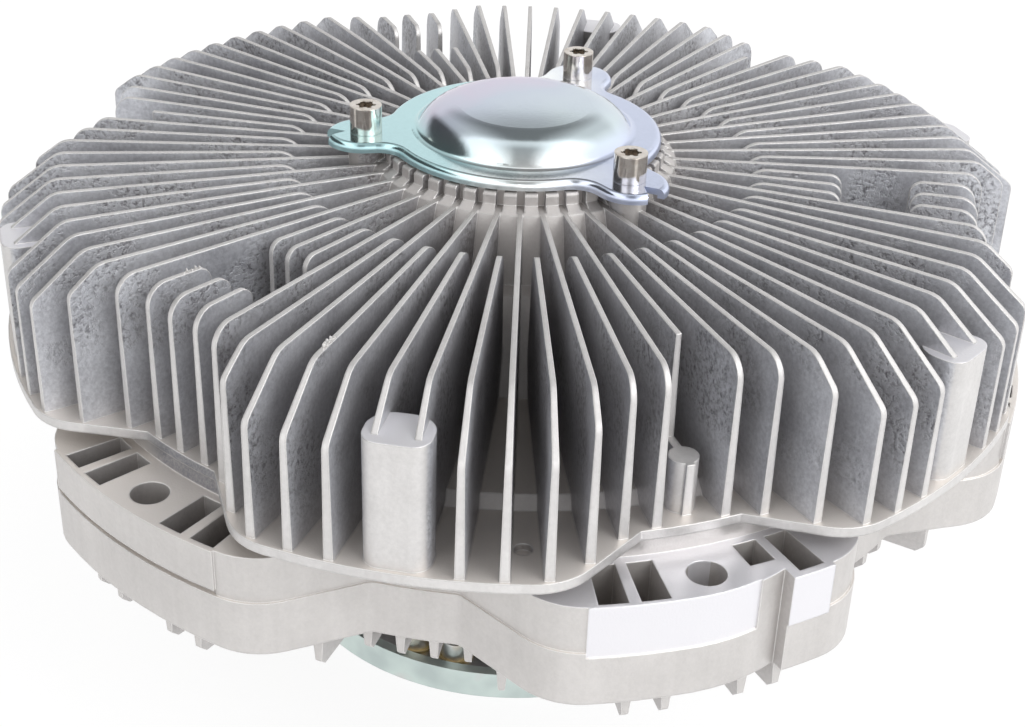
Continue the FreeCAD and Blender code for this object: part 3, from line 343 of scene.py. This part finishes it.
def cast_aluminium(name, light, dark, shaded_flank_light, shaded_flank_dark, pit_share, edge_shade_share, cuts):
    """Die-cast skin: patches, draw lines, pits, grain and edge wear, with painted light and shade:
    a lit floor, edge highlights, and shade on flanks, pits, corners and hub.
    """
    # Several of these colours are painted light: the floor's light, the edge highlight, and shade
    # in pits, crevices, round the hub and beside the edges.
    floor_light_colour, pit_shade_colour, crevice_shade_colour, hub_shade_colour = "#EDE7E1", "#66656A", "#ABA39D", "#8E837C"
    scuff_colour, edge_shade_colour = "#7A7C86", "#8B8988"
    edge_highlight_colour, cut_colour = "#F7F5F3", "#E3E2E6"
    material, tree = new_material(name)
    at = surface_frame(tree)
    place = at["place"]

    # Cloudy tone in patches 25 mm across, upright draw lines 3 mm apart and mottling of 1 mm
    spread = remap(tree, noise(tree, place, 40, 5, 0.6), 0.3, 0.7)
    drawn = noise(tree, calculate_vector(tree, "MULTIPLY", place, (1, 1, 0.08)), 330, 3)
    mottle = remap(tree, noise(tree, place, 800, 4, 0.7), 0.35, 0.65)
    streaky = mix_values(tree, 0.35, drawn, mottle)
    tone = mix_colours(tree, mix_values(tree, 0.55, spread, streaky), dark, light)

    # Flanks of the fins, which chilled first, show the mottling more and carry painted shade, and
    # the level floor carries painted light, a pale cream
    on_flank = remap(tree, calculate(tree, "ABSOLUTE", at["along"]), 0.75, 0.92)
    shaded_flank = mix_colours(tree, mix_values(tree, 0.45, spread, mottle), shaded_flank_dark, shaded_flank_light)
    floor_light_share = both(tree, at["level"], remap(tree, at["z"], 0.122, 0.118))
    floor_lit = mix_colours(tree, floor_light_share, tone, floor_light_colour)
    toned = mix_colours(tree, on_flank, floor_lit, shaded_flank)

    # Pits and flow marks about 1 mm across, in patches high on the flanks, darkened with painted
    # shade in the dents
    high_flank = both(tree, on_flank, remap(tree, at["z"], 0.112, 0.136))
    patch = remap(tree, noise(tree, place, 38, 2), 0.45, 0.60)
    sunk = remap(tree, noise(tree, place, 620, 4, 0.75), 0.46, 0.64, high=pit_share)
    pits = both(tree, both(tree, patch, high_flank), sunk)
    pit_shaded = mix_colours(tree, pits, toned, pit_shade_colour)

    # Painted shade where surfaces crowd together and a brownish painted shade deep round the hub,
    # and the scuff
    crowd = add_node(tree, "ShaderNodeAmbientOcclusion", {"Distance": 0.02}, samples=4)
    crevice_shade_share = remap(tree, crowd.outputs["AO"], 0.05, 0.6, 0.4, 0.0)
    crevice_shaded = mix_colours(tree, crevice_shade_share, pit_shaded, crevice_shade_colour)
    hub_shaded = mix_colours(tree, remap(tree, at["reach"], 0.072, 0.046, high=0.3), crevice_shaded, hub_shade_colour)
    scuffed = mix_colours(tree, scuffed_wall(tree, at), hub_shaded, scuff_colour)

    # Painted highlight on the rounded edges, partly also edge wear from handling, beside a line of
    # painted shade where the surface turns over
    edge = add_node(tree, "ShaderNodeBevel", {"Radius": 0.0007}, samples=6).outputs[0]
    flat_normal = add_node(tree, "ShaderNodeNewGeometry").outputs["Normal"]
    flatness = calculate_vector(tree, "DOT_PRODUCT", edge, flat_normal)
    edge_shade_mask = remap(tree, flatness, 0.995, 0.97, high=edge_shade_share)
    edge_highlight_share = remap(tree, flatness, 0.92, 0.80, high=0.95)
    edge_shaded = mix_colours(tree, edge_shade_mask, scuffed, edge_shade_colour)
    edge_highlighted = mix_colours(tree, edge_highlight_share, edge_shaded, edge_highlight_colour)

    # Grain of the die face, about 0.6 mm, with the pits sunk in it
    grain = noise(tree, place, 1600, 3)
    relief = calculate(tree, "MULTIPLY_ADD", pits, -5, grain)

    # Faces that the cutter has been over are brighter and smoother
    cut = cuts(tree, at)
    set_surface(tree, "ShaderNodeBsdfPrincipled", {
        "Base Color": mix_colours(tree, cut, edge_highlighted, cut_colour),
        "Metallic": 0.6,
        "Roughness": mix_values(tree, cut, remap(tree, spread, 0, 1, 0.4, 0.52), 0.3),
        "Normal": bump(tree, relief, 0.55, 0.00012, edge)})
    return material


# Flank colours here are the skin with painted shade, and the edge shade share sets the painted
# shade beside the edges.
give("rear_body", cast_aluminium(
    "cast_aluminium_body", light="#D7D4D2", dark="#BAB7B5",
    shaded_flank_light="#CFCCCB", shaded_flank_dark="#B6B3B2", pit_share=0.2, edge_shade_share=0.2, cuts=body_cuts))
give("front_cover", cast_aluminium(
    "cast_aluminium_cover", light="#E2E0DF", dark="#B9B7B6",
    shaded_flank_light="#DFE1E6", shaded_flank_dark="#A6A7AE", pit_share=0.9, edge_shade_share=0.6, cuts=cover_cuts))


# Flash left on two fins, where the trimming tool caught the soft edge and raised a ragged burr.
# One stands on the cut-back stub at the front left, the other at the bend of a fin beside the boss.
def torn_metal():
    """Freshly torn aluminium: bright and sharp-grained, with no die skin on it."""
    material, tree = new_material("torn_aluminium")
    place = add_node(tree, "ShaderNodeTexCoord").outputs["Object"]
    grain = noise(tree, place, 2200, 4)
    set_surface(tree, "ShaderNodeBsdfPrincipled", {
        "Base Color": mix_colours(tree, grain, "#B9B7B5", "#F2F0EE"),
        "Metallic": 0.7,
        "Roughness": 0.3,
        "Normal": bump(tree, grain, 0.7, 0.0002)})
    return material


def flash_burr(name, azimuth_deg, start, end, rise, material):
    """Ragged ridge along a fin's edge, between two points given as radius and height.

    Formula: an ellipse swept along the line, its height a sum of sines cut off below a sixth and
    faded to nothing at both ends, and its middle wandering sideways by 0.3 mm.
    """
    steps_along, steps_around = 120, 12
    wander, least_height, least_width = 0.0003, 0.00005, 0.00015
    along = np.linspace(0, 1, steps_along)[:, None]
    around = np.linspace(0, 2 * np.pi, steps_around, endpoint=False)[None, :]
    ragged = np.sin(37 * along) + 0.8 * np.sin(83 * along + 1.3) + 0.6 * np.sin(11 * along + 0.5)
    height = rise * np.clip(ragged / 2, 1 / 6, None) * np.sin(np.pi * along) ** 0.7 + least_height
    width = least_width + 0.2 * height
    outward = start[0] + (end[0] - start[0]) * along + 0 * around
    upward = start[1] + (end[1] - start[1]) * along + height * (0.5 + 0.5 * np.sin(around))
    sideways = wander * np.sin(23 * along) + width * np.cos(around)
    azimuth = math.radians(azimuth_deg)
    points = np.stack((outward * math.cos(azimuth) - sideways * math.sin(azimuth),
                       outward * math.sin(azimuth) + sideways * math.cos(azimuth), upward), axis=-1)
    index = np.arange(steps_along * steps_around).reshape(steps_along, steps_around)
    onward = np.roll(index, -1, axis=1)
    quads = np.stack((index[:-1], index[1:], onward[1:], onward[:-1]), axis=-1).reshape(-1, 4)
    ends = [index[0].tolist(), index[-1][::-1].tolist()]
    mesh = bpy.data.meshes.new(name)
    mesh.from_pydata(points.reshape(-1, 3).tolist(), [], quads.tolist() + ends)
    mesh.polygons.foreach_set("use_smooth", np.ones(len(mesh.polygons), dtype=bool))
    mesh.materials.append(material)
    burr = bpy.data.objects.new(name, mesh)
    scene.collection.objects.link(burr)
    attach(burr, "housing")


torn_aluminium = torn_metal()
burr_foot = 0.1599
stub_deg = outlet_lug_deg - 16 * fin_step_deg
bent_fin_deg = outlet_lug_deg - 10 * fin_step_deg
flash_burr("burr_on_stub", stub_deg, start=(0.1310, burr_foot), end=(0.1226, 0.1585),
           rise=0.0024, material=torn_aluminium)
flash_burr("burr_on_fin", bent_fin_deg, start=(0.1340, burr_foot), end=(0.1415, burr_foot),
           rise=0.0021, material=torn_aluminium)


# Cap over the thermostat coil: pressed steel sheet with a raised dome, zinc plated.
# Blue passivation looks mint green on the flat, lavender blue on the dome and pink behind its rim.
def blue_zinc():
    """Ramps of tints, across the flat and front to back over the dome, and a duller sheared rim."""
    cap_reach, flat_top, dome_start, dome_full = 0.045, 0.1685, 0.1690, 0.1735
    material, tree = new_material("blue_passivated_zinc")
    coordinates = add_node(tree, "ShaderNodeTexCoord")
    place = coordinates.outputs["Object"]
    height = add_node(tree, "ShaderNodeSeparateXYZ", {0: place}).outputs[2]
    facing = add_node(tree, "ShaderNodeSeparateXYZ", {0: coordinates.outputs["Normal"]}).outputs[2]
    cloud = noise(tree, place, 35, 3)

    def tinted(direction, tints):
        """A ramp along one direction over the cap, with its steps drawn out into clouds."""
        distance = calculate_vector(tree, "DOT_PRODUCT", place, direction)
        across = remap(tree, distance, -cap_reach, cap_reach, -0.25, 0.75)
        drifting = calculate(tree, "MULTIPLY_ADD", cloud, 0.5, across)
        return ramp_colours(tree, drifting, [(position, linear(tint)) for position, tint in tints])

    flat_tint = tinted((1, 0, 0), ((0.2, "#BCDFE3"), (0.5, "#FAFEFE"), (0.8, "#C6CEE4")))
    dome_tint = tinted((-0.5, 0.87, 0), ((0.25, "#CEDBE0"), (0.55, "#C5CEDC"), (0.85, "#D6C2D8")))
    grain = noise(tree, place, 900, 4)
    rim = both(tree, near(tree, facing, 0, 0.5), calculate(tree, "LESS_THAN", height, flat_top))
    on_dome = remap(tree, height, dome_start, dome_full)
    set_surface(tree, "ShaderNodeBsdfPrincipled", {
        "Base Color": mix_colours(tree, on_dome, flat_tint, dome_tint),
        "Metallic": 1.0,
        "Roughness": mix_values(tree, rim, remap(tree, grain, 0, 1, 0.08, 0.2), 0.36),
        "Normal": bump(tree, grain, 0.15, 0.00005)})
    return material


give("cap_plate", blue_zinc())


# Cap screws: cold-headed and bright nickel plated, the glossiest pieces on the clutch.
# The plate is warm white, with faint soft streaks.
give("cap_screws", plated(
    "bright_nickel_plate", ("#CFC8C0", "#DAD4CD", "#C6BDB4"), roughness=0.13, patch_mm=6))


# Table: a wide white board that the clutch stands on, as in a product photograph.
# Camera and reflections see it nearly white, and a share of matt white keeps the clutch's shadow.
def white_table():
    """Matt white, with a white glow that only the camera and reflections see."""
    glow_share = 0.85
    material, tree = new_material("white_table")
    seen = add_node(tree, "ShaderNodeLightPath")
    seen_or_mirrored = either(tree, seen.outputs["Is Camera Ray"], seen.outputs["Is Glossy Ray"])
    matt = add_node(tree, "ShaderNodeBsdfDiffuse", {"Color": "#F2F2F2"})
    glow = add_node(tree, "ShaderNodeEmission", {"Color": "#FFFFFF", "Strength": 1.06})
    set_surface(tree, "ShaderNodeMixShader", {
        0: both(tree, seen_or_mirrored, glow_share), 1: matt.outputs[0], 2: glow.outputs[0]})
    return material


table_half = 6.0
table_mesh = bpy.data.meshes.new("table")
table_corners = [(-table_half, -table_half, 0), (table_half, -table_half, 0),
                 (table_half, table_half, 0), (-table_half, table_half, 0)]
table_mesh.from_pydata(table_corners, [], [(0, 1, 2, 3)])
table_mesh.materials.append(white_table())
table = bpy.data.objects.new("table", table_mesh)
scene.collection.objects.link(table)


# Tent: white cloth round the table, with a bright back wall, soft boxes over the photographer's
# shoulders and the photographer dark between them. It is dark high up on the left and bright on
# the right, and the camera itself sees plain white.
world = bpy.data.worlds.new("studio")
world.use_nodes = True
scene.world = world
sky = world.node_tree
sky.nodes.clear()
way = add_node(sky, "ShaderNodeTexCoord").outputs["Generated"]
way_parts = add_node(sky, "ShaderNodeSeparateXYZ", {0: way})
way_x, way_y, way_z = way_parts.outputs[0], way_parts.outputs[1], way_parts.outputs[2]
over_share = calculate(sky, "DIVIDE", calculate(sky, "ARCTAN2", way_z, way_y), math.pi)


def grey(brightness):
    """A colour with this linear brightness."""
    return (brightness, brightness, brightness, 1)


def tent_ramp(steps):
    """Brightness at angles in degrees, which go up from the back horizon and down to the front."""
    return ramp_colours(sky, over_share, [(angle / 180, grey(value)) for angle, value in steps])


middle_tent = tent_ramp(((0, 0.44), (24, 0.46), (30, 0.16), (38, 0.1), (72, 0.1), (78, 0.46),
                         (86, 0.38), (94, 0.2), (140, 0.16), (158, 0.4), (172, 0.6)))
side_tent = tent_ramp(((0, 0.44), (24, 0.46), (34, 0.34), (58, 0.34), (66, 0.42), (74, 0.74),
                       (138, 0.8), (150, 0.92), (168, 0.92), (176, 0.7)))
to_the_side = remap(sky, calculate(sky, "ABSOLUTE", way_x), 0.1, 0.36)
tent = mix_colours(sky, to_the_side, middle_tent, side_tent)
leftward = calculate_vector(sky, "DOT_PRODUCT", way, (-1, 0.2, 0))
high_left = both(sky, remap(sky, leftward, 0.59, 0.68), remap(sky, way_z, 0.2, 0.35))
left_dimmed = mix_colours(sky, high_left, tent, grey(0.05))
sided = mix_colours(sky, remap(sky, way_x, 0.5, 0.75), left_dimmed, grey(0.55))
gain = remap(sky, way_x, -0.7, 0.5, 0.84, 1.1)
lit = add_node(sky, "ShaderNodeVectorMath", {0: sided, "Scale": gain}, operation="SCALE")
seen_by_camera = add_node(sky, "ShaderNodeLightPath").outputs["Is Camera Ray"]
background = add_node(sky, "ShaderNodeBackground", {
    "Color": mix_colours(sky, seen_by_camera, lit.outputs[0], "#FFFFFF"), "Strength": 2.25})
add_node(sky, "ShaderNodeOutputWorld", {"Surface": background.outputs[0]})


# Lamp: one weak soft box in front and high on the right, aimed at the clutch.
# It gives the walls that face it a little more light than the tent does.
lamp_place = Vector((0.9, -0.75, 1.0))
lamp_aim = Vector((0, 0, 0.1))
lamp_data = bpy.data.lights.new("lamp_right", "AREA")
lamp_data.shape = "RECTANGLE"
lamp_data.size = 0.7
lamp_data.size_y = 0.5
lamp_data.energy = 6
lamp = bpy.data.objects.new("lamp_right", lamp_data)
lamp.location = lamp_place
lamp.rotation_euler = (lamp_aim - lamp_place).to_track_quat("-Z", "Y").to_euler()
scene.collection.objects.link(lamp)
